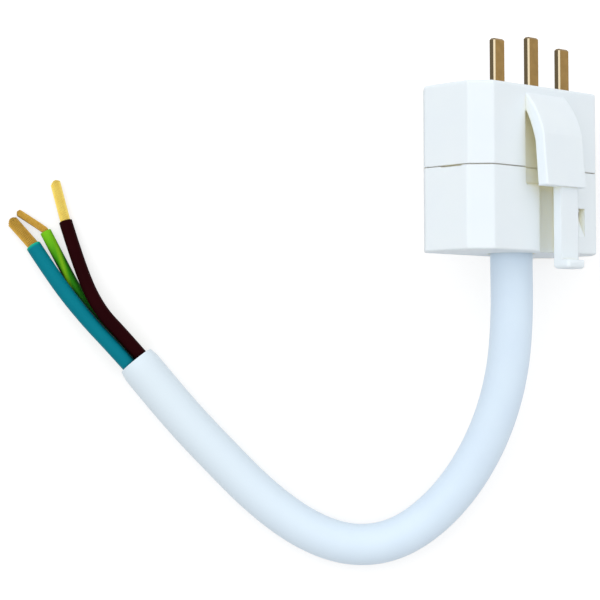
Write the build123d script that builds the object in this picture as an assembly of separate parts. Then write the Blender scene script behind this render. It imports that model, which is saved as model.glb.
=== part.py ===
from build123d import *
import math
import os

# Ceiling light plug: an earthed three-blade plug with a sprung latch on its long
# face and a short length of round three-core cord that ends in stripped cores.
# The housing is two moulded cups that snap together at a seam half way down.
#
# The plug is built in a frame of its own: X along the long faces, Y from the latch
# face to the back, Z out of the blades, with the origin in the middle of the pin face.
# At the end it is laid on its back right corner facet, where the stiff cord steadies it.
# In that final frame Z is up, the blades point along +Y and the floor is at Z = 0.
# All sizes are in millimetres.

# Housing outline, shared by both halves
housing_width = 38.6
housing_depth = 18.5
housing_height = 32.8
corner_leg = 3.55
seam_drop = 16.4
wall = 1.6
face_wall = 2.2
bottom_wall = 2.2
end_step = 0.2
edge_round = 0.8
face_round = 0.6
bottom_round = 0.4
seam_gap = 0.2
seam_depth = 0.8

# Latch, moulded in one with the pin half; a reach is measured out of the latch face
wing_left = -6.3
wing_right = 5.9
wing_top = 1.6
wing_root = 5.2
wing_bottom = 20.2
wing_reach = 5.5
wing_bend_reach = 4.55
wing_bend_drop = 10.0
wing_crown_reach = 2.9
wing_crown_drop = 5.5
wing_gap = 3.0
gap_bend_reach = 2.3
gap_bend_drop = 11.3
gap_crown_reach = 1.3
gap_crown_drop = 8.1
wing_round = 0.4
tail_left = -1.3
tail_right = 4.0
tail_gap = 2.6
tail_thickness = 2.15
tail_start = 15.1
tail_overhang = 3.5
lip_reach = 6.5
lip_height = 1.8
tail_round = 0.7
tail_side_round = 0.35
root_sink = 0.6

# Relief behind the latch, in the long face of both halves
relief_depth = 0.7
relief_side = 0.4
relief_top = 5.3
relief_bottom = 19.5
relief_round = 0.6
channel_depth = 1.6
channel_skin = 1.3
channel_side = 0.25
channel_round = 0.9

# Blades and their places along the row
live_place = -10.5
earth_place = -0.1
neutral_place = 9.5
blade_set_back = 3.6
blade_width = 3.25
blade_thickness = 1.5
blade_bevel = 0.28
blade_tip = 0.35
live_reach = 8.85
earth_reach = 10.2
blade_root = 4.2
slot_clearance = 0.05

# Terminal blocks, their bores and screws
block_width = 5.6
block_back = 0.9
block_front_margin = 1.0
block_height = 7.0
bore_radius = 1.1
bore_drop = 3.5
bore_depth = 5.0
metal_chamfer = 0.3
terminal_screw_radius = 1.5
terminal_screw_row = -1.4
terminal_head_radius = 2.2
terminal_head_height = 1.6
terminal_head_gap = 0.5
screw_clearance = 0.02
driver_slot_width = 0.7
driver_slot_depth = 0.8
rib_thickness = 1.0
rib_clearance = 0.2
rib_length = 8.0
rib_back = 1.2

# Snap hooks of the pin half and the release pockets of the cord half
hook_centre = 9.1
hook_width = 5.2
hook_thickness = 1.2
hook_gap = 0.15
hook_start = 10.0
hook_lead = 2.6
catch_reach = 0.85
catch_height = 1.3
pocket_width = 5.8
pocket_height = 5.7
pocket_depth = 2.2
pocket_drop = 23.7

# Register rim inside the seam and the pry slot in the left end
rim_thickness = 0.7
rim_rise = 1.4
rim_drop = 2.4
rim_clearance = 0.05
pry_width = 5.4
pry_height = 0.15
pry_depth = 1.1
pry_centre = -1.4

# Cord and its grip
cord_radius = 4.25
cord_bore_radius = 3.45
cord_bore_depth = 3.3
core_slack = 0.3
hole_clearance = 0.2
hole_round = 0.6
grip_clearance = 0.05
jacket_grip = 12.5
exit_run = 1.0
grip_half_width = 9.6
grip_drop = 21.0
grip_height = 5.0
saddle_clearance = 0.4
saddle_plate = 1.3
saddle_bridge_drop = 11.0
grip_split = 0.8
arch_thickness = 1.6
ear_thickness = 2.6
grip_screw_place = 7.2
grip_screw_radius = 1.3
grip_screw_depth = 5.2
grip_screw_hole = 1.5
grip_head_radius = 2.1
grip_head_height = 1.5

# Cores, their bare ends and where each leaves the jacket inside the plug
blue_radius = 1.6
green_radius = 1.2
brown_radius = 1.4
blue_wire_radius = 1.22
green_wire_radius = 0.76
brown_wire_radius = 1.08
terminal_wire_radius = 0.8
live_core_start = (-1.6, 0.85)
earth_core_start = (0.0, -1.75)
neutral_core_start = (1.46, 0.82)

# The way of the cores inside the plug: backs are along Y, drops are below the terminal bores
core_lift = 5.0
core_fan = 1.12
core_cross_lift = 8.5
core_cross_back = 2.6
core_rise_share = 0.94
core_rise_drop = 5.6
core_turn_drop = 2.0
core_wall_margin = 2.1
core_rise_inset = 1.1
core_entry_inset = 1.9
core_end_gap = 0.7

# Share of the shorter run that an arc of a cord takes up
arc_share = 0.45

# Places that follow from the sizes above
latch_face = -housing_depth / 2
inner_face = latch_face + wall
blade_row = latch_face + blade_set_back
saddle_front = latch_face + channel_depth + channel_skin + saddle_clearance
axis_height = (housing_width / 2 + housing_depth / 2 - corner_leg) / math.sqrt(2)
tail_end = housing_height + tail_overhang
pin_face_place = (tail_end - earth_reach) / 2
underside_place = pin_face_place - housing_height
block_front = blade_row - blade_thickness / 2 - block_front_margin
hook_tip = pocket_drop + hook_lead
bore_height = -face_wall - bore_drop
block_bottom = -face_wall - block_height
grip_bottom = -grip_drop - grip_height
grip_screw_height = -grip_drop - grip_height / 2
cord_hole_radius = cord_radius + hole_clearance
groove_radius = cord_radius + grip_clearance
jacket_inner_end = -housing_height + jacket_grip
core_start_height = jacket_inner_end - cord_bore_depth + core_slack
core_turn_back = housing_depth / 2 - wall - core_wall_margin
core_rise_back = core_turn_back - core_rise_inset
core_entry_back = core_turn_back - core_entry_inset
core_end_back = block_back + core_end_gap


def block(x_span, y_span, z_span):
    """A box between a low and a high value on each axis."""
    spans = (x_span, y_span, z_span)
    lengths = [high - low for low, high in spans]
    corner = Pos(x_span[0], y_span[0], z_span[0])
    return corner * Box(*lengths, align=(Align.MIN, Align.MIN, Align.MIN))


def octagon(width, depth, leg):
    """The plug's plan: a rectangle with its corners cut at 45 degrees."""
    return chamfer(Rectangle(width, depth).vertices(), leg)


def prism(width, depth, leg, z_low, z_high):
    """An octagonal prism between two heights."""
    return Pos(0, 0, z_low) * extrude(octagon(width, depth, leg), z_high - z_low)


def inner_leg(leg, inset):
    """The corner leg of an octagon that is set in evenly by inset."""
    return leg - inset * (2 - math.sqrt(2))


def hollow(inset, z_low, z_high):
    """The room inside a housing half, set in evenly from the pin half's outline."""
    width = housing_width - 2 * inset
    depth = housing_depth - 2 * inset
    return prism(width, depth, inner_leg(corner_leg, inset), z_low, z_high)


def side_profile(outline, x_low, x_high):
    """A closed outline of (Y, Z) points and curves, drawn out along X."""
    plane = Plane(origin=(x_low, 0, 0), x_dir=(0, 1, 0), z_dir=(1, 0, 0))
    return extrude(plane * make_face(outline), x_high - x_low)


def out_of_face(reach, drop):
    """A point of the latch's side profile: out of the latch face, down from the pin face."""
    return (latch_face - reach, -drop)


def rod(radius, start, end):
    """A round rod between two points."""
    axis = Vector(*end) - Vector(*start)
    plane = Plane(origin=start, z_dir=axis)
    return extrude(plane * Circle(radius), axis.length)


def arc_radii(points):
    """The largest tangent arc for each corner of a route."""
    radii = []
    for before, corner, after in zip(points, points[1:], points[2:]):
        run_in = Vector(*corner) - Vector(*before)
        run_out = Vector(*after) - Vector(*corner)
        half_turn = math.radians(run_in.get_angle(run_out)) / 2
        shorter = min(run_in.length, run_out.length)
        radii.append(arc_share * shorter / math.tan(half_turn))
    return radii


def cord_tube(name, points, radius):
    """A round tube along a route of straight runs joined by tangent arcs."""
    radii = arc_radii(points)
    path = FilletPolyline(*points, radius=radii)
    section = Plane(origin=path @ 0, z_dir=path % 0) * Circle(radius)
    tube = sweep(section, path=path)
    ideal = math.pi * radius ** 2 * path.length
    print(name, "length", round(path.length, 1), "radii", [round(value, 1) for value in radii])
    print(name, "volume over section times length", round(tube.volume / ideal, 4))
    return tube


def latch_wing():
    """The sprung wing: it leaves the face near the pins and ends in the latching shoulder."""
    shoulder = out_of_face(wing_reach, wing_bottom)
    bend = out_of_face(wing_bend_reach, wing_bend_drop)
    crown = out_of_face(wing_crown_reach, wing_crown_drop)
    top = out_of_face(0, wing_top)
    inner_foot = out_of_face(wing_gap, wing_bottom)
    inner_bend = out_of_face(gap_bend_reach, gap_bend_drop)
    inner_crown = out_of_face(gap_crown_reach, gap_crown_drop)
    root = out_of_face(0, wing_root)
    outline = [
        Line(shoulder, bend),
        ThreePointArc(bend, crown, top),
        Line(top, out_of_face(-root_sink, wing_top)),
        Line(out_of_face(-root_sink, wing_top), out_of_face(-root_sink, wing_root)),
        Line(out_of_face(-root_sink, wing_root), root),
        ThreePointArc(root, inner_crown, inner_bend),
        Line(inner_bend, inner_foot),
        Line(inner_foot, shoulder),
    ]
    wing = side_profile(outline, wing_left, wing_right)
    sides = wing.faces().sort_by(Axis.X)
    return fillet(sides[0].edges() + sides[-1].edges(), wing_round)


def latch_tail():
    """The finger tail below the shoulder, with a lip turned outward at its end."""
    inner = latch_face - tail_gap
    outer = inner - tail_thickness
    bar = block((tail_left, tail_right), (outer, inner), (-tail_end, -tail_start))
    lip_span = (latch_face - lip_reach, inner)
    lip = block((tail_left, tail_right), lip_span, (-tail_end, -tail_end + lip_height))
    tail = bar + lip
    long_edges = tail.edges().filter_by(Axis.Z).group_by(SortBy.LENGTH)[-1]
    tail = fillet(long_edges, tail_side_round)
    low_edges = tail.edges().filter_by(Axis.Y).group_by(Axis.Z)[0]
    tail = fillet(low_edges, tail_round)
    lip_edges = tail.edges().filter_by(Axis.X).group_by(Axis.Y)[0]
    return fillet(lip_edges, tail_round)


def snap_hook():
    """One snap hook on the latch side: a flat tongue with a catch facing outward."""
    outer = inner_face + hook_gap
    inner = outer + hook_thickness
    span = (hook_centre - hook_width / 2, hook_centre + hook_width / 2)
    tongue = block(span, (outer, inner), (-hook_tip, -hook_start))
    root = block(span, (inner_face - root_sink, inner), (-seam_drop, -hook_start))
    catch_top = -pocket_drop - hook_gap
    outline = Polyline(
        (inner, catch_top),
        (outer - catch_reach, catch_top),
        (outer, catch_top - catch_height),
        (inner, catch_top - catch_height),
        close=True,
    )
    return tongue + root + side_profile(outline, *span)


def release_pocket():
    """The ramped window in the cord half's wall that lets a blade push the catch in."""
    span = (hook_centre - pocket_width / 2, hook_centre + pocket_width / 2)
    outline = Polyline(
        (latch_face - root_sink, -pocket_drop),
        (latch_face + pocket_depth, -pocket_drop),
        (latch_face, -pocket_drop - pocket_height),
        (latch_face - root_sink, -pocket_drop - pocket_height),
        close=True,
    )
    return side_profile(outline, *span)


def both_sides(shape):
    """A feature and its copy turned half round the plug's axis."""
    return [shape, Rot(0, 0, 180) * shape]


def cord_saddle():
    """The half saddle that hangs from the pin half and takes the pull of the cord."""
    width = (-grip_half_width, grip_half_width)
    plate_back = saddle_front + saddle_plate
    bridge = block(width, (inner_face, plate_back), (-seam_drop + seam_gap, -saddle_bridge_drop))
    plate = block(width, (saddle_front, plate_back), (-grip_drop, -saddle_bridge_drop))
    grip = block(width, (saddle_front, -grip_split), (grip_bottom, -grip_drop))
    saddle = bridge + plate + grip
    saddle -= rod(groove_radius, (0, 0, -housing_height), (0, 0, -grip_drop + grip_height))
    for side in (-1, 1):
        place = side * grip_screw_place
        hole_end = (place, -grip_split - grip_screw_depth, grip_screw_height)
        hole_start = (place, 0, grip_screw_height)
        saddle -= rod(grip_screw_radius + screw_clearance, hole_start, hole_end)
    return saddle


def terminal_ribs(place):
    """Two ribs that hold a terminal block from turning."""
    ribs = []
    for side in (-1, 1):
        near = place + side * (block_width / 2 + rib_clearance)
        far = near + side * rib_thickness
        span = (min(near, far), max(near, far))
        rib_bottom = -face_wall - rib_length
        ribs.append(block(span, (inner_face - root_sink, rib_back), (rib_bottom, -face_wall + root_sink)))
    return ribs


def roll_over(edge, inward, along):
    """The soft roll of a recess's edge: from the latch face round and into the recess."""
    rest = math.sqrt(0.5) * inward
    start = (edge - inward, latch_face)
    middle = (edge - inward + rest, latch_face + abs(inward - rest))
    end = (edge, latch_face + abs(inward))
    points = (start, middle, end)
    return ThreePointArc(*[along(*point) for point in points])


def soft_recess(x_span, depth, roll, z_low, z_high):
    """A recess in the long face whose side edges roll over softly."""
    left, right = x_span
    front = latch_face - root_sink
    floor = latch_face + depth
    outline = [
        Line((left - roll, front), (left - roll, latch_face)),
        roll_over(left, roll, lambda x, y: (x, y)),
        Line((left, latch_face + roll), (left, floor)),
        Line((left, floor), (right, floor)),
        Line((right, floor), (right, latch_face + roll)),
        roll_over(right, -roll, lambda x, y: (x, y)),
        Line((right + roll, latch_face), (right + roll, front)),
        Line((right + roll, front), (left - roll, front)),
    ]
    return Pos(0, 0, z_low) * extrude(make_face(outline), z_high - z_low)


def latch_relief(z_low, z_high):
    """The shallow recess in the long face behind the wing."""
    x_span = (wing_left + relief_side, wing_right - relief_side)
    return soft_recess(x_span, relief_depth, relief_round, z_low, z_high)


def relief_foot():
    """The soft lower edge of the relief."""
    x_span = (wing_left + relief_side, wing_right - relief_side)
    front = latch_face - root_sink
    low = -relief_bottom - relief_round
    outline = [
        Line((front, low), (latch_face, low)),
        roll_over(-relief_bottom, relief_round, lambda z, y: (y, z)),
        Line((latch_face + relief_round, -relief_bottom), (front, -relief_bottom)),
        Line((front, -relief_bottom), (front, low)),
    ]
    return side_profile(outline, *x_span)


def seam_groove():
    """The narrow shadow gap that runs round the pin half just above the seam."""
    top = -seam_drop + seam_gap
    outer = prism(housing_width, housing_depth, corner_leg, -seam_drop, top)
    return outer - hollow(seam_depth, -seam_drop, top)


def make_pin_housing():
    """The pin half: an open cup with the latch, hooks, ribs and cord saddle in one moulding."""
    shell = prism(housing_width, housing_depth, corner_leg, -seam_drop, 0)
    shell = fillet(shell.edges().filter_by(Axis.Z), edge_round)
    shell = fillet(shell.faces().sort_by(Axis.Z)[-1].edges(), face_round)
    shell -= seam_groove()
    shell -= hollow(wall, -seam_drop - wall, -face_wall)
    shell -= latch_relief(-seam_drop - wall, -relief_top)
    for place in (live_place, earth_place, neutral_place):
        slot_width = blade_width / 2 + slot_clearance
        slot_depth = blade_thickness / 2 + slot_clearance
        x_span = (place - slot_width, place + slot_width)
        y_span = (blade_row - slot_depth, blade_row + slot_depth)
        shell -= block(x_span, y_span, (-face_wall, 0))
        for rib in terminal_ribs(place):
            shell += rib
    for hook in both_sides(snap_hook()):
        shell += hook
    shell += cord_saddle()
    return shell + latch_wing() + latch_tail()


def seam_rim():
    """The register rim that lines up the two halves, open where the hooks pass."""
    top = -seam_drop + rim_rise
    low = -seam_drop - rim_drop
    rim = hollow(wall, low, -seam_drop) + hollow(wall + rim_clearance, -seam_drop, top)
    rim -= hollow(wall + rim_thickness, low, top)
    reach = pocket_width / 2 + rim_clearance
    opening = block((hook_centre - reach, hook_centre + reach), (latch_face, 0), (low, top))
    for gap in both_sides(opening):
        rim -= gap
    saddle_gap = grip_half_width + rim_clearance
    rim -= block((-saddle_gap, saddle_gap), (latch_face, 0), (-seam_drop, top))
    return rim


def tail_channel():
    """The channel that the latch's tail is pressed into, open at the underside."""
    x_span = (tail_left - channel_side, tail_right + channel_side)
    return soft_recess(x_span, channel_depth, channel_round, -housing_height, -relief_bottom)


def make_cord_housing():
    """The cord half: an open cup with the cord hole, tail channel, pockets and pry slot."""
    width = housing_width + 2 * end_step
    leg = corner_leg + end_step
    shell = prism(width, housing_depth, leg, -housing_height, -seam_drop)
    shell = fillet(shell.edges().filter_by(Axis.Z), edge_round)
    shell = fillet(shell.faces().sort_by(Axis.Z)[0].edges(), bottom_round)
    shell -= hollow(wall, -housing_height + bottom_wall, -seam_drop)
    skin = channel_skin
    bulge_x = (tail_left - channel_side - skin, tail_right + channel_side + skin)
    bulge_y = (inner_face - root_sink, latch_face + channel_depth + skin)
    bulge_z = (-housing_height + bottom_wall / 2, -relief_bottom + skin)
    shell += block(bulge_x, bulge_y, bulge_z)
    shell += seam_rim()
    shell -= tail_channel()
    shell -= latch_relief(-relief_bottom, -seam_drop)
    shell -= relief_foot()
    for pocket in both_sides(release_pocket()):
        shell -= pocket
    end_face = -width / 2
    pry_span = (pry_centre - pry_width / 2, pry_centre + pry_width / 2)
    shell -= block((end_face, end_face + pry_depth), pry_span, (-seam_drop - pry_height, -seam_drop))
    hole = rod(cord_hole_radius, (0, 0, -housing_height), (0, 0, -housing_height + bottom_wall))
    shell -= hole
    mouth = shell.edges().filter_by(GeomType.CIRCLE).group_by(SortBy.RADIUS)[-1].sort_by(Axis.Z)[0]
    return fillet(mouth, hole_round)


def make_blade(place, reach):
    """A flat brass blade with bevelled long edges and a chamfered tip."""
    section = chamfer(Rectangle(blade_width, blade_thickness).vertices(), blade_bevel)
    length = reach + face_wall + blade_root
    blade = extrude(section, length)
    blade = chamfer(blade.faces().sort_by(Axis.Z)[-1].edges(), blade_tip)
    return Pos(place, blade_row, reach - length) * blade


def make_terminal(place):
    """A brass block on the blade's root, with a bore for the core and a tapped screw hole."""
    x_span = (place - block_width / 2, place + block_width / 2)
    body = block(x_span, (block_front, block_back), (block_bottom, -face_wall))
    body = chamfer(body.edges().filter_by(Axis.Y), metal_chamfer)
    body -= rod(bore_radius, (place, block_back - bore_depth, bore_height), (place, block_back, bore_height))
    screw_hole = terminal_screw_radius + screw_clearance
    hole_low = (place, terminal_screw_row, block_bottom)
    hole_high = (place, terminal_screw_row, bore_height)
    body -= rod(screw_hole, hole_low, hole_high)
    blade_x = (place - blade_width / 2, place + blade_width / 2)
    blade_y = (blade_row - blade_thickness / 2, blade_row + blade_thickness / 2)
    return body - block(blade_x, blade_y, (-face_wall - blade_root, -face_wall))


def slotted_head(radius, height):
    """A screw head that stands on the XY plane, slotted on top, its rim chamfered."""
    head = Cylinder(radius, height, align=(Align.CENTER, Align.CENTER, Align.MIN))
    head = chamfer(head.faces().sort_by(Axis.Z)[-1].edges(), metal_chamfer)
    half = driver_slot_width / 2
    return head - block((-half, half), (-radius, radius), (height - driver_slot_depth, height))


def make_terminal_screw(place):
    """The clamp screw of a terminal, its head toward the seam."""
    head_height = block_bottom - terminal_head_gap
    tip = (place, terminal_screw_row, bore_height - terminal_wire_radius)
    shank = rod(terminal_screw_radius, (place, terminal_screw_row, head_height), tip)
    head = Rot(180, 0, 0) * slotted_head(terminal_head_radius, terminal_head_height)
    return shank + Pos(place, terminal_screw_row, head_height) * head


def make_cord_clamp():
    """The arched bar that presses the jacket into the saddle."""
    low = (0, 0, grip_bottom)
    high = (0, 0, -grip_drop)
    ears_y = (grip_split, grip_split + ear_thickness)
    bar = rod(groove_radius + arch_thickness, low, high)
    width = (-housing_width / 2, housing_width / 2)
    bar = bar & block(width, (grip_split, housing_depth), (grip_bottom, -grip_drop))
    bar += block((-grip_half_width, grip_half_width), ears_y, (grip_bottom, -grip_drop))
    bar -= rod(groove_radius, low, high)
    for side in (-1, 1):
        place = side * grip_screw_place
        bar -= rod(grip_screw_hole, (place, 0, grip_screw_height), (place, housing_depth, grip_screw_height))
    return bar


def make_grip_screw(side):
    """A screw that draws the clamp to the saddle."""
    place = side * grip_screw_place
    seat = grip_split + ear_thickness
    shank_end = (place, -grip_split - grip_screw_depth + grip_screw_radius, grip_screw_height)
    shank = rod(grip_screw_radius, (place, seat, grip_screw_height), shank_end)
    head = Rot(-90, 0, 0) * slotted_head(grip_head_radius, grip_head_height)
    return shank + Pos(place, seat, grip_screw_height) * head


def inner_core_route(place, start):
    """The way of a core inside the plug: up from the jacket and into its terminal."""
    x, y = start
    return [
        (x, y, core_start_height),
        (x * core_fan, y * core_fan, core_start_height + core_lift),
        ((x + place) / 2, core_cross_back, core_start_height + core_cross_lift),
        (place * core_rise_share, core_rise_back, bore_height - core_rise_drop),
        (place, core_turn_back, bore_height - core_turn_drop),
        (place, core_entry_back, bore_height),
        (place, core_end_back, bore_height),
    ]


# The cord's route outside the plug, chosen by hand along the line it lies in: sideways from the
# plug's axis, along the axis from the underside, and the height above the floor
jacket_points = [
    (0.2, -12.5, 16.6),
    (-0.6, -24.0, 14.2),
    (-3.5, -35.0, 11.2),
    (-8.5, -45.0, 8.2),
    (-15.2, -53.1, 5.8),
    (-23.2, -58.5, 4.6),
    (-32.0, -59.7, cord_radius),
    (-41.0, -56.8, cord_radius),
    (-50.5, -50.1, cord_radius),
    (-60.0, -40.5, cord_radius),
    (-69.0, -30.9, cord_radius),
    (-77.0, -21.0, cord_radius),
]
blue_points = [
    (-76.3, -24.2, 5.1),
    (-81.6, -18.3, 4.7),
    (-87.6, -12.0, 3.9),
    (-93.6, -4.6, 3.0),
    (-98.8, 3.2, blue_radius),
]
green_points = [
    (-75.1, -23.3, 2.6),
    (-80.1, -18.0, 2.1),
    (-84.3, -13.5, 1.5),
    (-89.0, -7.6, green_radius),
    (-93.0, -0.2, green_radius),
    (-96.3, 6.2, green_radius),
]
brown_points = [
    (-73.9, -22.3, 5.1),
    (-79.3, -16.0, 5.2),
    (-84.5, -10.6, 4.7),
    (-88.6, -2.5, 2.8),
    (-92.05, 8.3, brown_radius),
]
blue_tip = (-103.75, 8.9, blue_radius)
green_tip = (-102.35, 10.4, green_radius)
brown_tip = (-94.35, 17.0, brown_radius)
wire_stub = 0.5


def from_underside(points):
    """Points given from the middle of the underside, in the lying frame."""
    return [(x, y + underside_place, z) for x, y, z in points]


def make_jacket():
    """The white round jacket, bored out at both ends where the cores come out."""
    inner_end = (0, jacket_grip, axis_height)
    exit_point = (0, -exit_run, axis_height)
    points = from_underside([inner_end, exit_point] + jacket_points)
    tube = cord_tube("cord_jacket", points, cord_radius)
    for end, neighbour in ((points[0], points[1]), (points[-1], points[-2])):
        inward = (Vector(*neighbour) - Vector(*end)).normalized() * cord_bore_depth
        bottom = Vector(*end) + inward
        tube -= rod(cord_bore_radius, tuple(end), tuple(bottom))
    return tube


def bare_end(points, tip, radius):
    """The bare conductor that sticks out of a stripped core, bent toward its tip."""
    end = Vector(*points[-1])
    along = (end - Vector(*points[-2])).normalized()
    stub = end + along * wire_stub
    route = [tuple(end), tuple(stub), tip]
    path = FilletPolyline(*route, radius=arc_radii(route))
    section = Plane(origin=path @ 0, z_dir=path % 0) * Circle(radius)
    return sweep(section, path=path)


def make_nodes():
    """Every piece of the plug and its cord, by name, in the lying frame."""
    lying = Plane(origin=(0, pin_face_place, axis_height), x_dir=(1, 0, -1), z_dir=(0, 1, 0)).location
    nodes = {}
    nodes["pin_housing"] = lying * make_pin_housing()
    nodes["cord_housing"] = lying * make_cord_housing()
    contacts = {
        "live": (live_place, live_reach, live_core_start, brown_radius),
        "earth": (earth_place, earth_reach, earth_core_start, green_radius),
        "neutral": (neutral_place, live_reach, neutral_core_start, blue_radius),
    }
    for name, (place, reach, core_start, core_radius) in contacts.items():
        nodes[name + "_blade"] = lying * make_blade(place, reach)
        nodes[name + "_terminal"] = lying * make_terminal(place)
        nodes[name + "_terminal_screw"] = lying * make_terminal_screw(place)
        route = inner_core_route(place, core_start)
        nodes[name + "_inner_core"] = lying * cord_tube(name + "_inner_core", route, core_radius)
        wire_end = (place, block_back - bore_depth + bore_radius, bore_height)
        nodes[name + "_inner_wire"] = lying * rod(terminal_wire_radius, route[-1], wire_end)
    nodes["cord_clamp"] = lying * make_cord_clamp()
    nodes["clamp_screw_left"] = lying * make_grip_screw(-1)
    nodes["clamp_screw_right"] = lying * make_grip_screw(1)
    nodes["cord_jacket"] = make_jacket()
    cores = {
        "blue": (blue_points, blue_tip, blue_radius, blue_wire_radius),
        "green_yellow": (green_points, green_tip, green_radius, green_wire_radius),
        "brown": (brown_points, brown_tip, brown_radius, brown_wire_radius),
    }
    for name, (points, tip, radius, wire_radius) in cores.items():
        route = from_underside(points)
        nodes[name + "_core"] = cord_tube(name + "_core", route, radius)
        nodes[name + "_wire"] = bare_end(route, from_underside([tip])[0], wire_radius)
    return nodes


def main():
    os.makedirs("parts", exist_ok=True)
    for name, shape in make_nodes().items():
        shape.label = name
        export_step(shape, "parts/" + name + ".step")
        print(name, "volume", round(shape.volume, 1))


main()
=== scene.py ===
# %% [markdown]
# A ceiling lamp plug lies on a pale table with its short white cord and three stripped core ends.
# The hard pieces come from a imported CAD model, which is loaded once and never moved.
# The work here is the look: cords on smooth routes, stranded copper and a finish for every surface.

# %% Load the fixed frame
import math
import random

import bmesh
import bpy
from mathutils import Matrix, Vector


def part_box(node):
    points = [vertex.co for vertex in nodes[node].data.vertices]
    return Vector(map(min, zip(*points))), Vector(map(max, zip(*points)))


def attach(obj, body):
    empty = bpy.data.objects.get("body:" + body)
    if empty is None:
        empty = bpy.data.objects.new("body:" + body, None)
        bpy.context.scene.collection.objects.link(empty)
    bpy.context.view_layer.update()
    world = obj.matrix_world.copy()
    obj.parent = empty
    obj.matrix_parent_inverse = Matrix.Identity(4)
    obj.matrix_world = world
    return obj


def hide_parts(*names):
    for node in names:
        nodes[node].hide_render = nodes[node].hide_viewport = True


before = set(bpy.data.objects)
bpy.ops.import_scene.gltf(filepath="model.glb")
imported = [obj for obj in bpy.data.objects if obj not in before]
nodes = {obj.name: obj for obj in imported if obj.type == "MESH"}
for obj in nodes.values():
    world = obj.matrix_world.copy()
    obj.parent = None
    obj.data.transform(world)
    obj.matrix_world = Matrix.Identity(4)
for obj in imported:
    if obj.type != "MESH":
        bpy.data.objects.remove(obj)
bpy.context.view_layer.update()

print("CAD pieces loaded:", len(nodes))

# %% [markdown]
# The photograph looks nearly straight down through a long lens, so the plug shows its latch side,
# which faces up and to the right. A tracking constraint could aim the camera, but it picks its own
# roll when it looks down. So the three axes are worked out from the place, the aim and the up side.

# %% Camera
MM = 0.001
camera_place = Vector((-34.605, -42.999, 430.204)) * MM
camera_aim = Vector((-42.872, -28.199, 0)) * MM
picture_up = Vector((0.0052, 0.9994, 0.0343))
lens_mm = 123

camera_data = bpy.data.cameras.new("camera")
camera_data.lens = lens_mm
camera = bpy.data.objects.new("camera", camera_data)
bpy.context.scene.collection.objects.link(camera)
bpy.context.scene.camera = camera

forward = (camera_aim - camera_place).normalized()
right = forward.cross(picture_up).normalized()
turn = Matrix((right, right.cross(forward), -forward)).transposed()
camera.matrix_world = Matrix.Translation(camera_place) @ turn.to_4x4()
print("camera", round((camera_aim - camera_place).length, 3), "m from the table")

# %% [markdown]
# A cord is a fixed length of something flexible, so its route is settled by a few chosen points and
# a smooth curve does the rest. A NURBS curve pulls towards its points without touching them, which
# bends as a thick cord does. The same points carry the plain tubes of the CAD model.
# Each point is sideways from the plug's axis, along it from the underside, and above the table, in mm.

# %% Where the cord leaves the plug
housing_low, housing_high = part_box("cord_housing")
underside = housing_low.y
axis_height = (housing_low.z + housing_high.z) / 2 / MM

# %% Route of the jacket
jacket_radius = 4.25
jacket_route = [
    (0, 12.5, axis_height),
    (0, -1.0, axis_height),
    (0.2, -12.5, 16.6),
    (-0.6, -24.0, 14.2),
    (-3.5, -35.0, 11.2),
    (-8.5, -45.0, 8.2),
    (-15.2, -53.1, 5.8),
    (-23.2, -58.5, 4.6),
    (-32.0, -59.7, jacket_radius),
    (-41.0, -56.8, jacket_radius),
    (-50.5, -50.1, jacket_radius),
    (-60.0, -40.5, jacket_radius),
    (-69.0, -30.9, jacket_radius),
    (-77.0, -21.0, jacket_radius),
]
print("jacket route", len(jacket_route), "points")

# %% Routes of the three cores and the tips of their bare wires
blue_radius = 1.6
green_radius = 1.2
brown_radius = 1.4
blue_route = [
    (-76.3, -24.2, 5.1),
    (-81.6, -18.3, 4.7),
    (-87.6, -12.0, 3.9),
    (-93.6, -4.6, 3.0),
    (-98.8, 3.2, blue_radius),
]
green_route = [
    (-75.1, -23.3, 2.6),
    (-80.1, -18.0, 2.1),
    (-84.3, -13.5, 1.5),
    (-89.0, -7.6, green_radius),
    (-93.0, -0.2, green_radius),
    (-96.3, 6.2, green_radius),
]
brown_route = [
    (-73.9, -22.3, 5.1),
    (-79.3, -16.0, 5.2),
    (-84.5, -10.6, 4.7),
    (-88.6, -2.5, 2.8),
    (-92.05, 8.3, brown_radius),
]
blue_tip = (-103.75, 8.9, blue_radius)
green_tip = (-102.35, 10.4, green_radius)
brown_tip = (-94.35, 17.0, brown_radius)
print("core routes", [len(route) for route in (blue_route, green_route, brown_route)], "points")

# %% Read a smooth line from a route
def place_of(point):
    """A route point in the frame, in metres."""
    sideways, along, height = point
    return Vector((sideways * MM, underside + along * MM, height * MM))


def smooth_line(name, places, steps=12):
    """The points of a NURBS curve that is drawn towards the given places."""
    curve = bpy.data.curves.new(name + "_route", "CURVE")
    curve.dimensions = "3D"
    spline = curve.splines.new("NURBS")
    spline.points.add(len(places) - 1)
    for control, place in zip(spline.points, places):
        control.co = (*place, 1)
    spline.order_u = 3
    spline.use_endpoint_u = True
    curve.resolution_u = steps
    spline.resolution_u = steps
    route = bpy.data.objects.new(name + "_route", curve)
    drawn = bpy.data.meshes.new_from_object(route)
    line = [vertex.co.copy() for vertex in drawn.vertices]
    bpy.data.meshes.remove(drawn)
    bpy.data.objects.remove(route)
    bpy.data.curves.remove(curve)
    return line


def length_of(line):
    """How long a line of points is."""
    return sum((after - before).length for before, after in zip(line, line[1:]))


jacket_line = smooth_line("jacket", [place_of(point) for point in jacket_route])
print("jacket line", len(jacket_line), "points,", round(length_of(jacket_line) / MM, 1), "mm")

# %% [markdown]
# A curve's own bevel makes a quick tube, but its ends are plain discs. Here the cut ends show, so
# each tube is lofted from rings in mesh code: the rings run along the line, turn over the cut edge
# and go back down the bore. Its UV map holds the turn round the tube and the metres along it.

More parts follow.
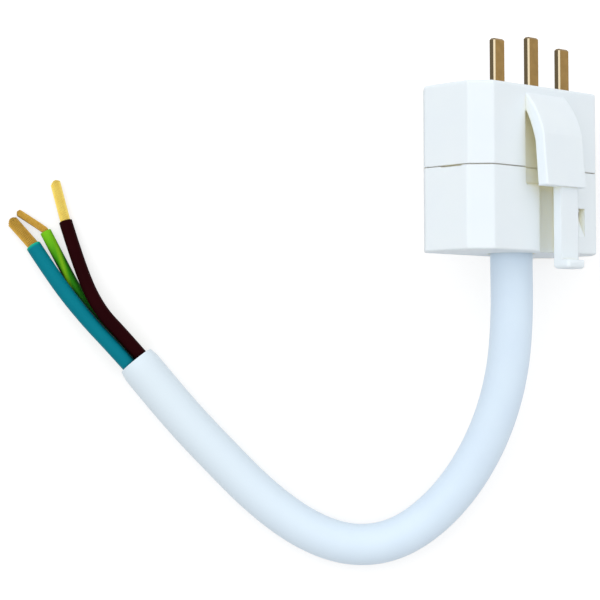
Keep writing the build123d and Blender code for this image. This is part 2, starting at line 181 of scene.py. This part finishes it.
# %% Rings along a line
def stations_along(line, radius):
    """A ring for each point of a line: centre, way across, way up, radius and distance along."""
    stations = []
    distance = 0
    for index, centre in enumerate(line):
        before = line[max(index - 1, 0)]
        after = line[min(index + 1, len(line) - 1)]
        along = (after - before).normalized()
        across = along.cross(Vector((0, 0, 1))).normalized()
        distance += (centre - before).length
        stations.append((centre, across, across.cross(along), radius, distance))
    return stations


def end_rings(stations, steps):
    """More rings past the last: each step is metres on along the line and a radius."""
    centre, across, up, _, distance = stations[-1]
    along = up.cross(across)
    return [(centre + along * on, across, up, radius, distance + on) for on, radius in steps]


def add_piece(name, mesh):
    """Puts a mesh in the scene as a piece that rides with the plug."""
    piece = bpy.data.objects.new(name, mesh)
    bpy.context.scene.collection.objects.link(piece)
    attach(piece, "root")
    return piece


# %% Loft a tube
sharp_edge = math.radians(50)


def loft(bm, uv, stations, sides):
    """Adds a closed tube through the stations to a mesh in the making."""
    rings = []
    for centre, across, up, radius, _ in stations:
        angles = [side * math.tau / sides for side in range(sides)]
        outward = [across * math.cos(angle) + up * math.sin(angle) for angle in angles]
        rings.append([bm.verts.new(centre + way * radius) for way in outward])
    for number, (low, high) in enumerate(zip(rings, rings[1:])):
        for side in range(sides):
            after = (side + 1) % sides
            face = bm.faces.new((low[side], low[after], high[after], high[side]))
            face.smooth = True
            turns = (side, side + 1, side + 1, side)
            rows = (number, number, number + 1, number + 1)
            for loop, turn_of, row in zip(face.loops, turns, rows):
                loop[uv].uv = (turn_of / sides, stations[row][4])
    bm.faces.new(reversed(rings[0]))
    bm.faces.new(rings[-1])
    return rings


def finished_mesh(name, bm):
    """The mesh that was in the making, its faces turned outward and its cut edges sharp."""
    bmesh.ops.recalc_face_normals(bm, faces=bm.faces)
    mesh = bpy.data.meshes.new(name)
    bm.to_mesh(mesh)
    bm.free()
    mesh.set_sharp_from_angle(angle=sharp_edge)
    return mesh


def tube(name, stations, sides):
    """A mesh of one closed tube."""
    bm = bmesh.new()
    loft(bm, bm.loops.layers.uv.new("along"), stations, sides)
    return finished_mesh(name, bm)


# %% [markdown]
# The jacket is extruded PVC of 8.5 mm, cut square with a knife. The blade leaves a crisp outer edge
# and a sheath less than a millimetre thick round the cores, so the end is a ring and not a disc.

# %% Jacket
jacket_sides = 72
bore_radius = 3.4 * MM
bore_depth = 3.3 * MM
cut_edge = 0.12 * MM
pinch = 0.35 * MM
pinch_run = 2.6 * MM
outer = jacket_radius * MM


def cut_end(radius, bore, depth):
    """The rings of a cut end: over the edge, across the ring and down the bore."""
    return [
        (-cut_edge, radius),
        (-cut_edge / 3, radius - cut_edge / 3),
        (0, radius - cut_edge),
        (0, bore + cut_edge),
        (-cut_edge, bore),
        (-depth, bore),
    ]


def pinched(station, whole):
    """A ring drawn in near the cut, where the knife squeezed the sheath."""
    centre, across, up, radius, distance = station
    share = max(0, 1 - (whole - distance) / pinch_run)
    return (centre, across, up, radius - pinch * share * share, distance)


jacket_stations = stations_along(jacket_line, outer)
jacket_whole = jacket_stations[-1][4]
jacket_stations = [pinched(station, jacket_whole) for station in jacket_stations]
cut_sheath = cut_end(outer - pinch, bore_radius, bore_depth)
jacket_stations = jacket_stations[:-1] + end_rings(jacket_stations, cut_sheath)
jacket = add_piece("jacket", tube("jacket", jacket_stations, jacket_sides))
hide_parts("cord_jacket")
print("jacket", len(jacket.data.polygons), "faces")

# %% [markdown]
# Each core is a thinner PVC tube that ends where its insulation was stripped. Inside it is a bunch of
# fine copper strands, laid in a slow twist. A plain rod would do from far off, but close up the
# strands catch the light one by one, so each strand is a tube of its own in one mesh.

# %% Strands of a bare wire end
strand_radius = 0.125 * MM
strand_sides = 8
twist_pitch = 26 * MM
tip_slant = 0.25
tip_dome = 0.7
tip_ragged = 0.12 * MM
random.seed(7)


def bundle_places(radius):
    """Places of strands packed in rings of six, twelve and so on inside a radius."""
    places = [(0, 0)]
    ring_count = int((radius - strand_radius) / (2 * strand_radius) + 0.5)
    spread = (radius - strand_radius) / max(ring_count, 1)
    for ring in range(1, ring_count + 1):
        for index in range(6 * ring):
            angle = index * math.tau / (6 * ring) + ring / 2
            places.append((ring * spread * math.cos(angle), ring * spread * math.sin(angle)))
    return places


def cut_at(stations, cut):
    """The rings before a cut and one more on it."""
    kept = [station for station in stations if station[4] < cut]
    before, after = kept[-1], stations[len(kept)]
    share = (cut - before[4]) / (after[4] - before[4])
    return kept + [(before[0].lerp(after[0], share), *after[1:4], cut)]


def strand_bundle(name, line, radius):
    """A mesh of twisted strands along a line, domed and slanted at the tip as cutters leave it."""
    bm = bmesh.new()
    uv = bm.loops.layers.uv.new("along")
    stations = stations_along(line, strand_radius)
    whole = stations[-1][4]
    longest = radius * tip_slant**2 / tip_dome / 4
    for x, y in bundle_places(radius):
        set_back = x * tip_slant + (x * x + y * y) / radius * tip_dome + longest
        cut = whole - set_back - random.random() * tip_ragged
        strand = []
        for centre, across, up, thick, distance in cut_at(stations, cut):
            angle = distance / twist_pitch * math.tau
            side = x * math.cos(angle) - y * math.sin(angle)
            rise = x * math.sin(angle) + y * math.cos(angle)
            strand.append((centre + across * side + up * rise, across, up, thick, distance))
        loft(bm, uv, strand, strand_sides)
    return finished_mesh(name, bm)


# %% Cores with their bare ends
core_sides = 40
strip_bore = 0.6 * MM
wire_inset = 2.0 * MM
wire_stub = 0.5 * MM
core_facts = {
    "blue": (blue_route, blue_tip, blue_radius, 1.22, 0.0357),
    "green_yellow": (green_route, green_tip, green_radius, 0.76, 0.0366),
    "brown": (brown_route, brown_tip, brown_radius, 1.08, 0.0364),
}
cores = {}
wires = {}
for colour, (route, tip, core_radius, wire_radius, core_length) in core_facts.items():
    line = smooth_line(colour, [place_of(point) for point in route])
    thick = core_radius * MM
    wire_thick = wire_radius * MM
    stations = stations_along(line, thick)
    stripped = cut_end(thick, wire_thick, strip_bore)
    stations = stations[:-1] + end_rings(stations, stripped)
    core_name = colour + "_insulation"
    core = add_piece(core_name, tube(core_name, stations, core_sides))
    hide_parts(colour + "_core")

    last = line[-1]
    along = (last - line[-3]).normalized()
    inside = last - along * wire_inset
    bend = last + along * wire_stub
    wire_places = [inside, last, bend, place_of(tip)]
    wire_line = smooth_line(colour + "_wire", wire_places)
    wire_name = colour + "_strands"
    wire = add_piece(wire_name, strand_bundle(wire_name, wire_line, wire_thick))
    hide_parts(colour + "_wire")
    cores[colour] = core
    wires[colour] = wire
    lengths = [round(length_of(drawn) / MM, 1) for drawn in (line, wire_line)]
    print(colour, "core and wire", lengths, "mm")

# %% [markdown]
# Every finish starts from what the real material is and how its surface was made. Colours are
# written as they would be picked on screen, and one function turns them into the linear values that
# a renderer adds up. One more function adds a shader node with its settings and its links.

# %% Colour and node helpers
def linear(colour):
    """An sRGB hex colour as linear red, green, blue and alpha."""
    channels = [int(colour[start:start + 2], 16) / 255 for start in (1, 3, 5)]
    curved = [((value + 0.055) / 1.055) ** 2.4 for value in channels]
    straight = [value / 12.92 for value in channels]
    pairs = zip(channels, straight, curved)
    return (*[low if value <= 0.04045 else high for value, low, high in pairs], 1)


def add(tree, kind, inputs=None, **settings):
    """Adds a shader node: settings are its options, inputs are values or sockets to link from."""
    node = tree.nodes.new("ShaderNode" + kind)
    for name, value in settings.items():
        setattr(node, name, value)
    for name, value in (inputs or {}).items():
        if isinstance(value, bpy.types.NodeSocket):
            tree.links.new(value, node.inputs[name])
        else:
            node.inputs[name].default_value = value
    return node


shut_share = 0.15
sight_samples = 8
bevel_samples = 6

# A Mix node's sockets for colours and for numbers share their names, so both go by place
mix_a = 6
mix_b = 7
mix_result = 2
mix_number_a = 2
mix_number_b = 3


def blend(tree, share, low, high):
    """A colour socket between two colours, each a hex colour or a socket, by a share socket."""
    ends = [end if isinstance(end, bpy.types.NodeSocket) else linear(end) for end in (low, high)]
    mixed = add(tree, "Mix", {0: share, mix_a: ends[0], mix_b: ends[1]}, data_type="RGBA")
    return mixed.outputs[mix_result]


def paint_light_and_shade_in_gaps(tree, tone, painted_gap_colour, reach_mm, open_share):
    """Paints shade, and in the seam light, into a tone: leads it to another colour where near surfaces
    shut out most of the sky.
    """
    sight = add(tree, "AmbientOcclusion", {"Distance": reach_mm * MM}, samples=sight_samples)
    span = {"Value": sight.outputs["AO"], "From Min": shut_share, "From Max": open_share}
    openness = add(tree, "MapRange", span, interpolation_type="SMOOTHSTEP")
    return blend(tree, openness.outputs[0], painted_gap_colour, tone)


def new_material(name):
    """An empty material with its shader and output joined."""
    material = bpy.data.materials.new(name)
    material.use_nodes = True
    tree = material.node_tree
    tree.nodes.clear()
    shader = add(tree, "BsdfPrincipled")
    add(tree, "OutputMaterial", {"Surface": shader.outputs["BSDF"]})
    return material, tree, shader


def join(tree, shader, links):
    """Links sockets to the shader's inputs by name."""
    for name, socket in links.items():
        tree.links.new(socket, shader.inputs[name])


# %% [markdown]
# The housing is moulded thermoplastic, white with a cool cast. The mould was spark eroded to a fine
# matt, which softens highlights. Its real grain is about 0.05 mm and is drawn coarser so that it
# shows. Moulded edges are never knife sharp: a Bevel node rounds them in the light alone, and a slow
# noise gives the faint unevenness of flow. A little light goes in and comes out again nearby.
# The recesses take real shade, and an ambient occlusion node also paints a warm cream shade into
# the colour there. In the hairline seam a second one with a short reach paints light, lifting the
# colour back to near white.

# %% Moulded white thermoplastic
plastic_white = "#F0F9FF"
plastic_shade = "#EBF4FE"
flow_mm = 9
grain_mm = 0.22
grain_depth_mm = 0.004
grain_strength = 0.6
edge_round_mm = 0.3
# Painted shade in the recesses and painted light in the seam, both led by ambient occlusion
painted_recess_shade = "#F4EFD0"
recess_reach_mm = 6
recess_open = 0.76
painted_seam_light = "#FBFDFF"
seam_reach_mm = 0.5
seam_open = 0.45
scatter_mm = 0.7
scatter_share = 0.35


def moulded_thermoplastic():
    """Satin white housing plastic."""
    material, tree, shader = new_material("moulded_white_thermoplastic")
    shader.inputs["Roughness"].default_value = 0.5
    shader.inputs["IOR"].default_value = 1.5
    shader.inputs["Specular IOR Level"].default_value = 0.25
    shader.inputs["Subsurface Weight"].default_value = scatter_share
    shader.inputs["Subsurface Radius"].default_value = (1, 1, 1)
    shader.inputs["Subsurface Scale"].default_value = scatter_mm * MM
    place = add(tree, "TexCoord").outputs["Object"]
    flow = add(tree, "TexNoise", {"Vector": place, "Scale": 1 / (flow_mm * MM), "Detail": 2})
    tone = blend(tree, flow.outputs[0], plastic_shade, plastic_white)
    # Painted shade: cream in the recesses. Painted light: near white in the deep, narrow seam.
    wide = paint_light_and_shade_in_gaps(tree, tone, painted_recess_shade, recess_reach_mm, recess_open)
    body = paint_light_and_shade_in_gaps(tree, wide, painted_seam_light, seam_reach_mm, seam_open)
    rounded = add(tree, "Bevel", {"Radius": edge_round_mm * MM}, samples=bevel_samples)
    grain = add(tree, "TexNoise", {"Vector": place, "Scale": 1 / (grain_mm * MM), "Detail": 3})
    bump = add(
        tree,
        "Bump",
        {
            "Strength": grain_strength,
            "Distance": grain_depth_mm * MM,
            "Height": grain.outputs[0],
            "Normal": rounded.outputs["Normal"],
        },
    )
    join(tree, shader, {"Base Color": body, "Normal": bump.outputs["Normal"]})
    return material


white_thermoplastic = moulded_thermoplastic()
print("made", white_thermoplastic.name)

# %% [markdown]
# The blades are stamped from rolled brass strip and have dulled to bronze. Rolling leaves fine lines
# along the blade, and handling leaves cloudy tarnish. A metal's colour is the colour of what it
# mirrors, so a pale studio shows the base colour nearly as written. The narrow sides are sheared and a
# little duller, and they also get a painted shade, as do two of the bevels; the other two bevels get a
# painted highlight. The blades lie rolled 45 degrees, so the product of a normal's X and Z tells
# them apart: above zero on the wide faces, below on the sides, nil on bevels. The bevels with the
# painted highlight are those that face up or down. Real roll lines are finer, and are drawn 0.12 mm
# wide so that they show. The terminals are the same alloy, machined from bar and still bright inside
# the housing. Tones are dull, bright, painted bevel highlight, and sheared side with painted shade.

# %% Rolled brass strip
# The third tone is a painted highlight, the fourth a painted shade on sides and two bevels
blade_tones = ("#856A3E", "#AC8C56", "#F2E2C0", "#665A44")
terminal_tones = ("#B9944F", "#D2B06A", "#E2C888", "#C2A05C")
roll_width_mm = 0.12
roll_length_mm = 3
tarnish_mm = 1.6
brass_round_mm = 0.1
roll_depth_mm = 0.003
roll_strength = 0.5
brass_polished = 0.28
brass_matt = 0.5
side_from = -0.15
side_full = -0.35
bevel_from = 0.3
bevel_full = 0.1
bevel_most = 0.9
highlight_from = 0.75
highlight_full = 0.95


def rolled_brass(name, dull, bright, edge, side):
    """Tarnished brass with roll lines along Y, painted shade on the sheared sides and two bevels,
    painted highlight on the other two.
    """
    material, tree, shader = new_material(name)
    shader.inputs["Metallic"].default_value = 1
    place = add(tree, "TexCoord").outputs["Object"]
    cloud = add(tree, "TexNoise", {"Vector": place, "Scale": 1 / (tarnish_mm * MM), "Detail": 4})
    tarnish = blend(tree, cloud.outputs[0], dull, bright)
    smooth = add(tree, "Bevel", {"Radius": brass_round_mm * MM}, samples=bevel_samples)
    facing = add(tree, "SeparateXYZ", {0: add(tree, "TexCoord").outputs["Normal"]})
    lean = add(tree, "Math", {0: facing.outputs["X"], 1: facing.outputs["Z"]}, operation="MULTIPLY")
    # Painted shade on the narrow sides, over their real sheared dullness
    side_span = {"Value": lean.outputs[0], "From Min": side_from, "From Max": side_full}
    sheared_side_shade_mask = add(tree, "MapRange", side_span)
    flat = blend(tree, sheared_side_shade_mask.outputs[0], tarnish, side)
    # Painted highlight on the bevels that face up or down, painted shade on the other two
    size_of_lean = add(tree, "Math", {0: lean.outputs[0]}, operation="ABSOLUTE")
    bevel_span = {
        "Value": size_of_lean.outputs[0],
        "From Min": bevel_from,
        "From Max": bevel_full,
        "To Max": bevel_most,
    }
    painted_bevel_mask = add(tree, "MapRange", bevel_span)
    upright = add(tree, "Math", {0: facing.outputs["Z"]}, operation="ABSOLUTE")
    highlight_span = {"Value": upright.outputs[0], "From Min": highlight_from, "From Max": highlight_full}
    painted_highlight_mask = add(tree, "MapRange", highlight_span)
    painted_bevel_tone = blend(tree, painted_highlight_mask.outputs[0], side, edge)
    colour = blend(tree, painted_bevel_mask.outputs[0], flat, painted_bevel_tone)
    scale = (1 / (roll_width_mm * MM), 1 / (roll_length_mm * MM), 1 / (roll_width_mm * MM))
    stretched = add(tree, "Mapping", {"Vector": place, "Scale": scale})
    lines = add(tree, "TexNoise", {"Vector": stretched.outputs[0], "Scale": 1, "Detail": 3})
    polish = {"Value": lines.outputs[0], "To Min": brass_polished, "To Max": brass_matt}
    rough = add(tree, "MapRange", polish)
    bump = add(
        tree,
        "Bump",
        {
            "Strength": roll_strength,
            "Distance": roll_depth_mm * MM,
            "Height": lines.outputs[0],
            "Normal": smooth.outputs["Normal"],
        },
    )
    join(
        tree,
        shader,
        {
            "Base Color": colour,
            "Roughness": rough.outputs[0],
            "Normal": bump.outputs["Normal"],
        },
    )
    return material


blade_brass = rolled_brass("rolled_brass_strip", *blade_tones)
terminal_brass = rolled_brass("machined_brass_bar", *terminal_tones)
print("made", blade_brass.name, "and", terminal_brass.name)

# %% [markdown]
# The jacket and the cores are extruded PVC. The die draws very fine lines along them, which the eye
# reads as a silky sheen that runs with the cord. Real ones are a tenth as wide and would not show.
# The lines follow the UV map, whose second number is metres along the cord, so they bend with it.
# The core colours are deep and only softly glossy. Where cores lie against each other, and in the
# cord's other gaps, an ambient occlusion node paints shade into the colour. A cord's tone can also
# lead on to another along it: the blue core turns paler over its last 0.8 mm and the jacket greyer
# towards its cut end, and the earth core's lead to a brighter green at its end is painted light.

# %% Extruded PVC
die_line_mm = 0.3
die_run_mm = 7
die_depth_mm = 0.006
die_strength = 0.4
pvc_cloud_mm = 6
pvc_reach_mm = 4
pvc_open = 0.75


def extruded_pvc(name, tones, radius_mm, roughness, specular):
    """PVC with die lines along the cord, a faint change of tone and painted shade in gaps: body, cloud
    and gap shade.
    """
    colour, shade, painted_gap_colour = tones
    material, tree, shader = new_material(name)
    shader.inputs["Roughness"].default_value = roughness
    shader.inputs["IOR"].default_value = 1.53
    shader.inputs["Specular IOR Level"].default_value = specular
    place = add(tree, "TexCoord").outputs["Object"]
    cloud = add(tree, "TexNoise", {"Vector": place, "Scale": 1 / (pvc_cloud_mm * MM), "Detail": 2})
    tone = blend(tree, cloud.outputs[0], shade, colour)
    # Painted shade where the cord lies in gaps and against other cores
    body = paint_light_and_shade_in_gaps(tree, tone, painted_gap_colour, pvc_reach_mm, pvc_open)
    along = add(tree, "UVMap", uv_map="along").outputs["UV"]
    around = math.tau * radius_mm / die_line_mm
    drawn = add(tree, "Mapping", {"Vector": along, "Scale": (around, 1 / (die_run_mm * MM), 1)})
    lines = add(tree, "TexNoise", {"Vector": drawn.outputs[0], "Scale": 1, "Detail": 2})
    depth = {"Strength": die_strength, "Distance": die_depth_mm * MM, "Height": lines.outputs[0]}
    bump = add(tree, "Bump", depth)
    join(tree, shader, {"Base Color": body, "Normal": bump.outputs["Normal"]})
    return material


def opened(material):
    """A made material's nodes, its shader and the socket that its colour comes from."""
    tree = material.node_tree
    shader = next(node for node in tree.nodes if node.type == "BSDF_PRINCIPLED")
    return tree, shader, shader.inputs["Base Color"].links[0].from_socket


def lead_tone(material, colour, from_mm, to_mm):
    """Leads a cord's tone to another colour between two distances along it."""
    tree, shader, before = opened(material)
    along = add(tree, "UVMap", uv_map="along").outputs["UV"]
    metres = add(tree, "SeparateXYZ", {0: along}).outputs["Y"]
    span = {"Value": metres, "From Min": from_mm * MM, "From Max": to_mm * MM}
    share = add(tree, "MapRange", span, interpolation_type="SMOOTHSTEP")
    join(tree, shader, {"Base Color": blend(tree, share.outputs[0], before, colour)})


jacket_run_mm = (60, 149)
blue_run_mm = (34.9, 35.7)
# Tones are body, cloud and the painted shade in gaps
jacket_tones = ("#E0F1FF", "#DAEBFC", "#C0D3E8")
blue_tones = ("#02808E", "#007488", "#003840")
brown_tones = ("#2A0408", "#1E0204", "#020000")
jacket_pvc = extruded_pvc("extruded_white_pvc", jacket_tones, jacket_radius, 0.42, 0.3)
blue_pvc = extruded_pvc("extruded_blue_pvc", blue_tones, blue_radius, 0.45, 0.05)
brown_pvc = extruded_pvc("extruded_brown_pvc", brown_tones, brown_radius, 0.5, 0.02)
lead_tone(jacket_pvc, "#DEEBF4", *jacket_run_mm)
lead_tone(blue_pvc, "#14B48E", *blue_run_mm)
print("made", jacket_pvc.name, blue_pvc.name, brown_pvc.name)

# %% [markdown]
# The earth core is green with a yellow stripe, two colours extruded together. The stripe is a share
# of the turn round the core, and since the cores are twisted in the jacket it winds slowly. So the
# mask is the UV's turn plus a little for each metre along, and a ramp keeps its edge a hair soft.

# %% Green and yellow PVC
stripe_share = 0.12
stripe_pitch_mm = 34
stripe_start = 0.42
stripe_edge = 0.05
earth_run_mm = (29, 36.7)
earth_tones = ("#3A9A10", "#2C860E", "#023C16")
earth_yellow = "#7AB418"


def green_yellow_pvc():
    """Green PVC with one winding yellow stripe."""
    name = "extruded_green_yellow_pvc"
    material = extruded_pvc(name, earth_tones, green_radius, 0.45, 0.05)
    tree, shader, green = opened(material)
    along = add(tree, "UVMap", uv_map="along").outputs["UV"]
    parts = add(tree, "SeparateXYZ", {0: along})
    wound = add(
        tree,
        "Math",
        {0: parts.outputs["Y"], 1: 1 / (stripe_pitch_mm * MM), 2: parts.outputs["X"]},
        operation="MULTIPLY_ADD",
    )
    moved = add(tree, "Math", {0: wound.outputs[0], 1: stripe_start}, operation="ADD")
    turn_share = add(tree, "Math", {0: moved.outputs[0]}, operation="FRACT")
    from_middle = add(tree, "Math", {0: turn_share.outputs[0], 1: 0.5}, operation="SUBTRACT")
    away = add(tree, "Math", {0: from_middle.outputs[0]}, operation="ABSOLUTE")
    inside = {
        "Value": away.outputs[0],
        "From Min": stripe_share / 2 + stripe_edge,
        "From Max": stripe_share / 2 - stripe_edge,
    }
    stripe = add(tree, "MapRange", inside)
    join(tree, shader, {"Base Color": blend(tree, stripe.outputs[0], green, earth_yellow)})
    return material


earth_pvc = green_yellow_pvc()
# Painted light: the earth core is led to a bright yellow green towards its end, away from the shade
# between the other cores
lead_tone(earth_pvc, "#76C21E", *earth_run_mm)
print("made", earth_pvc.name)

# %% [markdown]
# The strands are drawn copper, and the brown core's wire is given a brighter copper than the other
# two. Drawing pulls the surface into lines too fine to show, so only a slow change of tone along
# each strand is left. In the grooves between strands an ambient occlusion node paints shade, so the
# tone goes darker there.

# %% Drawn copper
copper_mm = 0.9
groove_reach_mm = 1.6
groove_open = 0.9
copper_roughness = 0.32
# The third tone of each is the painted shade in the grooves between strands
bright_tones = ("#FFEE82", "#F4D060", "#A87E2C")
dull_tones = ("#E2B854", "#C49A42", "#7A5822")


def drawn_copper(name, colour, shade, painted_groove_shade):
    """Bare copper strands, bright with darker patches where fingers touched them."""
    material, tree, shader = new_material(name)
    shader.inputs["Metallic"].default_value = 1
    shader.inputs["Roughness"].default_value = copper_roughness
    place = add(tree, "TexCoord").outputs["Object"]
    cloud = add(tree, "TexNoise", {"Vector": place, "Scale": 1 / (copper_mm * MM), "Detail": 3})
    tone = blend(tree, cloud.outputs[0], shade, colour)
    # Painted shade in the grooves between strands
    with_painted_groove_shade = paint_light_and_shade_in_gaps(tree, tone, painted_groove_shade, groove_reach_mm, groove_open)
    join(tree, shader, {"Base Color": with_painted_groove_shade})
    return material


bright_copper = drawn_copper("drawn_copper_bright", *bright_tones)
dull_copper = drawn_copper("drawn_copper_dull", *dull_tones)
print("made", bright_copper.name, "and", dull_copper.name)

# %% [markdown]
# The screws inside are steel with a thin zinc plating. It went on in a bath, so it has no lines, only
# a cool grey with a slight cloudiness.

# %% Zinc plated steel
zinc_cloud_mm = 1.2
zinc_dark = "#A9AEB3"
zinc_light = "#C4C8CB"
zinc_polished = 0.3
zinc_matt = 0.45


def zinc_plated_steel():
    """Cool grey plated steel."""
    material, tree, shader = new_material("zinc_plated_steel")
    shader.inputs["Metallic"].default_value = 1
    place = add(tree, "TexCoord").outputs["Object"]
    cloud = add(tree, "TexNoise", {"Vector": place, "Scale": 1 / (zinc_cloud_mm * MM), "Detail": 4})
    tone = blend(tree, cloud.outputs[0], zinc_dark, zinc_light)
    polish = {"Value": cloud.outputs[0], "To Min": zinc_polished, "To Max": zinc_matt}
    rough = add(tree, "MapRange", polish)
    join(tree, shader, {"Base Color": tone, "Roughness": rough.outputs[0]})
    return material


plated_steel = zinc_plated_steel()
print("made", plated_steel.name)

# %% [markdown]
# Node names end in the kind of piece, so one table of endings dresses all the CAD pieces. Only the
# clamp's screws end in their side. The cords that were modelled here take theirs by colour.

# %% Give every piece its finish
def dress(piece, material):
    """Makes a material the only one of a piece."""
    piece.data.materials.clear()
    piece.data.materials.append(material)


finishes = {
    "housing": white_thermoplastic,
    "cord_clamp": white_thermoplastic,
    "blade": blade_brass,
    "terminal": terminal_brass,
    "screw": plated_steel,
    "inner_wire": dull_copper,
    "live_inner_core": brown_pvc,
    "earth_inner_core": earth_pvc,
    "neutral_inner_core": blue_pvc,
}
for name, node in nodes.items():
    for ending, material in finishes.items():
        if name.endswith(ending) or (ending == "screw" and ending in name):
            dress(node, material)

dress(jacket, jacket_pvc)
core_finishes = {"blue": blue_pvc, "green_yellow": earth_pvc, "brown": brown_pvc}
wire_finishes = {"blue": dull_copper, "green_yellow": dull_copper, "brown": bright_copper}
for colour in cores:
    dress(cores[colour], core_finishes[colour])
    dress(wires[colour], wire_finishes[colour])
print("dressed", len(nodes), "CAD pieces and", 1 + len(cores) + len(wires), "modelled ones")

# %% [markdown]
# The photograph is a catalogue picture: pure white all round and a very soft light. Whatever looks
# at the ground directly should find it white, while the light that falls on the plug stays mild. A
# Light Path node tells the two kinds of ray apart, and both the world and the table ask it.

# %% What the camera, metal and glass see of the ground
def seen_as_ground(tree):
    """A socket that is one for camera, glossy and transmission rays, and nil for the rest."""
    ray = add(tree, "LightPath")
    first = {0: ray.outputs["Is Camera Ray"], 1: ray.outputs["Is Glossy Ray"]}
    camera_or_gloss = add(tree, "Math", first, operation="MAXIMUM")
    second = {0: camera_or_gloss.outputs[0], 1: ray.outputs["Is Transmission Ray"]}
    return add(tree, "Math", second, operation="MAXIMUM").outputs[0]


# %% [markdown]
# A white world gives softness that no small lamp could. It is a little brighter overhead than at the
# horizon, and brighter beyond the blades than on the cord's side, so that the faces part by a few
# steps of tone. One wide lamp from the upper left adds a step between the latch side and the rest.

# %% World
white_level = 1.0
sky_level = 1.1
horizon_level = 0.87
far_side = 1.28
near_side = 0.6
world = bpy.data.worlds.new("studio")
bpy.context.scene.world = world
world.use_nodes = True
sky = world.node_tree
sky.nodes.clear()
seen = seen_as_ground(sky)
way = add(sky, "SeparateXYZ", {0: add(sky, "TexCoord").outputs["Generated"]})
height = {"Value": way.outputs["Z"], "To Min": horizon_level, "To Max": sky_level}
dome = add(sky, "MapRange", height)
depth = {"Value": way.outputs["Y"], "From Min": -1, "To Min": near_side, "To Max": far_side}
sides = add(sky, "MapRange", depth)
shaped = add(sky, "Math", {0: dome.outputs[0], 1: sides.outputs[0]}, operation="MULTIPLY")
choice = {0: seen, mix_number_a: shaped.outputs[0], mix_number_b: white_level}
level = add(sky, "Mix", choice, data_type="FLOAT")
background = add(sky, "Background", {"Color": (1, 1, 1, 1), "Strength": level.outputs[0]})
add(sky, "OutputWorld", {"Surface": background.outputs[0]})
print("sky from", horizon_level, "at the horizon to", sky_level, "overhead")

# %% Lamp
lamp_level = 0.3
lamp_width = math.radians(50)
lamp_from = Vector((-0.5, 0.25, 1.0))
lamp_data = bpy.data.lights.new("wide_lamp", "SUN")
lamp_data.energy = lamp_level
lamp_data.angle = lamp_width
lamp = bpy.data.objects.new("wide_lamp", lamp_data)
bpy.context.scene.collection.objects.link(lamp)
lamp.rotation_mode = "QUATERNION"
lamp.rotation_quaternion = (-lamp_from).to_track_quat("-Z", "Y")
print("lamp", lamp.name, "of", lamp_level, "over", round(math.degrees(lamp_width)), "degrees")

# %% [markdown]
# The table is plain paper that takes the soft shadow. It has to be grey for the plug to get little
# light from below, so what the camera and the metal see of it is lifted to white by a faint glow.

# %% Table
table_size = 6
paper_grey = 0.5
paper_lift = 0.6
floor_mesh = bpy.data.meshes.new("floor")
half = table_size / 2
corners = [(-half, -half, 0), (half, -half, 0), (half, half, 0), (-half, half, 0)]
floor_mesh.from_pydata(corners, [], [(0, 1, 2, 3)])
floor = bpy.data.objects.new("floor", floor_mesh)
bpy.context.scene.collection.objects.link(floor)

table = bpy.data.materials.new("white_table")
table.use_nodes = True
tree = table.node_tree
tree.nodes.clear()
lift = add(tree, "Math", {0: seen_as_ground(tree), 1: paper_lift}, operation="MULTIPLY")
paper = add(tree, "BsdfDiffuse", {"Color": (paper_grey, paper_grey, paper_grey, 1)})
glow = add(tree, "Emission", {"Color": (1, 1, 1, 1), "Strength": lift.outputs[0]})
surface = add(tree, "AddShader", {0: paper.outputs[0], 1: glow.outputs[0]})
add(tree, "OutputMaterial", {"Surface": surface.outputs[0]})
dress(floor, table)
bpy.context.scene.view_settings.view_transform = "Standard"
print("table and light ready")
